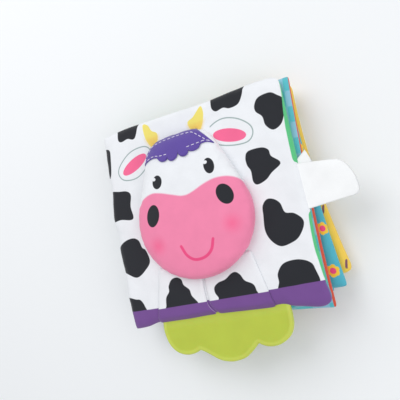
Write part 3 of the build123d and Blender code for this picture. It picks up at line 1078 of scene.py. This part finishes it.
def stitches(name, runs, ground):
    """Short raised threads along lines on a surface, as one piece."""
    ring = np.linspace(0, 2 * math.pi, STITCH_SIDES, endpoint=False)
    swell = np.array(STITCH_SWELL)[:, None, None] * STITCH_WIDTH / 2
    steps = len(STITCH_SWELL)
    size = steps * STITCH_SIDES
    points, faces = [], []
    for run in runs:
        length = np.linalg.norm(np.diff(run, axis=0), axis=1).sum()
        for start in np.arange(0, length - STITCH, STITCH_PITCH):
            plan = spread(run, np.linspace(start, start + STITCH, steps) / length)
            middle = np.column_stack([plan, heights_on(ground, plan, FACE) + STITCH_LIFT])
            ahead = np.gradient(middle, axis=0)
            aside = np.cross(ahead, (0, 0, 1))
            aside /= np.linalg.norm(aside, axis=1, keepdims=True)
            up = np.cross(aside, ahead)
            up /= np.linalg.norm(up, axis=1, keepdims=True)
            around = np.cos(ring)[:, None] * aside[:, None] + np.sin(ring)[:, None] * up[:, None]
            index = len(points) * size + np.arange(size).reshape(steps, STITCH_SIDES)
            points.append((middle[:, None] + swell * around).reshape(-1, 3))
            faces += grid_faces(np.column_stack([index, index[:, :1]])).tolist()
            faces += [index[0].tolist(), index[-1, ::-1].tolist()]
    points = np.vstack(points)
    return make_object(name, points, faces, points[:, :2])


hair_piece = hair(tree_of(head_pad))
felt = cloth("hair_felt", HAIR_PURPLE, pitch=0.4, depth=0.12, sheen=0.4, roughness=0.95)
dress(hair_piece, [felt], body="front_cover", replaced="hair")

left_run = smooth_curve([HAIR_EDGE[0], LEFT_TAIL, FRINGE_ROOTS[0], FRINGE_ROOTS[1]]) + LEFT_ROW_IN
right_run = smooth_curve([FRINGE_ROOTS[-2], FRINGE_ROOTS[-1], RIGHT_TAIL, HAIR_EDGE[-1]]) + RIGHT_ROW_IN
stitch_runs = [smooth_curve(HAIR_STITCHES), left_run, right_run]
stitch_piece = stitches("hair_stitches", stitch_runs, tree_of(hair_piece))
thread = cloth("stitch_thread", STITCH_LILAC, pitch=0.3)
dress(stitch_piece, [thread], body="front_cover", replaced="hair")


# Label


def label():
    """The folded tag: two layers that meet in a fold at its far end, the under one standing out above."""
    across, out = [np.linspace(0, 1, count) for count in LABEL_GRID]
    near = spread(np.array(LABEL_SEAM), across)
    far = spread(smooth_curve(LABEL_FAR), across)
    columns = []
    for share, side in [(s, 1) for s in out] + [(s, -1) for s in out[-2::-1]]:
        plan = near + (far - near) * share
        if side < 0:
            plan = plan + np.outer(across**3, (0, np.interp(share, *np.transpose(LABEL_PEAK))))
        layer = side * LABEL_LAYERS / 2 * float(rise((1 - share) * LABEL_FOLD))
        lift = LABEL_CURL * (math.sin(math.pi * share) * (0.4 + 0.6 * across) - 0.7 * share**2)
        columns.append(np.column_stack([plan, SEAM + layer + lift]))
    points = np.array(columns).transpose(1, 0, 2)
    return thickened(sheet_object("label_tag", points, points[..., :2]), LABEL_CLOTH)


label_piece = label()
label_cloth = cloth("label_cloth", LABEL_WHITE, pitch=0.35, depth=0.03)
dress(label_piece, [label_cloth], body="front_cover", replaced="label")


# Cloth across the spine's joints


def joint_strip(name, wander, seam, up, runs_out):
    """The cloth from the spine's face up the groove into a cover. up is 1 at the front and -1 at the back.
    runs_out is how fast the cover's print ends on it, or 1 where the print goes on over the spine."""
    path = smooth_curve([*STRIP_PATH, (HINGE - LEFT, 0)], steps=4)[:, None]
    length = np.linspace(BOTTOM + STRIP_END, TOP - STRIP_END, STRIP_POINTS)
    inward, down, y = np.broadcast_arrays(path[..., 0], path[..., 1], length)
    points = np.dstack([LEFT + inward, y, seam - up * down])[:, ::up]
    flat = np.dstack([LEFT - wander * along(LEFT_EDGE, y) - runs_out * down, y])[:, ::up]
    piece = thickened(sheet_object(name, points, flat), STRIP_CLOTH)
    dress(piece, [cloth(name, WHITE, HIDE_PRINT)], HIDE_PRINT, replaced="spine")
    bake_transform(piece)


joint_strip("front_joint_strip", 1.0, SEAM, 1, 1.0)
joint_strip("back_joint_strip", BACK_WANDER, BACK_SEAM, -1, 1.75)


# Floor, light and camera


def make_floor():
    """A plain pale floor."""
    corners = [(x * FLOOR_REACH, y * FLOOR_REACH, 0) for x, y in ((-1, -1), (1, -1), (1, 1), (-1, 1))]
    mesh = bpy.data.meshes.new("floor")
    mesh.from_pydata(corners, [], [(0, 1, 2, 3)])
    material = bpy.data.materials.new("floor")
    material.use_nodes = True
    tree = material.node_tree
    looks = {"Base Color": FLOOR, "Roughness": 0.9, "Specular IOR Level": 0.1}
    set_inputs(tree, tree.nodes["Principled BSDF"], looks)
    mesh.materials.append(material)
    floor = bpy.data.objects.new("floor", mesh)
    bpy.context.collection.objects.link(floor)


def make_light(name, place, size, power):
    """A square soft light that faces the book, its place and size in metres."""
    lamp = bpy.data.lights.new(name, "AREA")
    lamp.size = size
    lamp.energy = power
    light = bpy.data.objects.new(name, lamp)
    light.location = place
    light.rotation_euler = (-Vector(place)).to_track_quat("-Z", "Y").to_euler()
    bpy.context.collection.objects.link(light)


def make_world():
    """Even light from all round."""
    world = bpy.data.worlds.new("studio")
    bpy.context.scene.world = world
    world.use_nodes = True
    tree = world.node_tree
    set_inputs(tree, tree.nodes["Background"], {"Color": WORLD_COLOUR, "Strength": WORLD_STRENGTH})


def make_camera():
    """The camera, which looks down on the book."""
    data = bpy.data.cameras.new("camera")
    data.sensor_width = 36.0
    data.lens = data.sensor_width / 2 / math.tan(CAMERA_VIEW / 2)
    data.clip_start = 0.01
    camera = bpy.data.objects.new("camera", data)
    aim = CAMERA_AIM.normalized()
    right = aim.cross(CAMERA_UP).normalized()
    up = right.cross(aim)
    turn = Matrix((right, up, -aim)).transposed().to_4x4()
    camera.matrix_world = Matrix.Translation(Vector(CAMERA * MM)) @ turn
    bpy.context.collection.objects.link(camera)
    bpy.context.scene.camera = camera


make_floor()
make_light("key", place=(-0.3, 0.6, 0.8), size=0.8, power=4.4)
make_light("fill", place=(0.9, -0.3, 0.8), size=1.2, power=5.4)
make_world()
make_camera()
bpy.context.scene.view_settings.view_transform = "Standard"
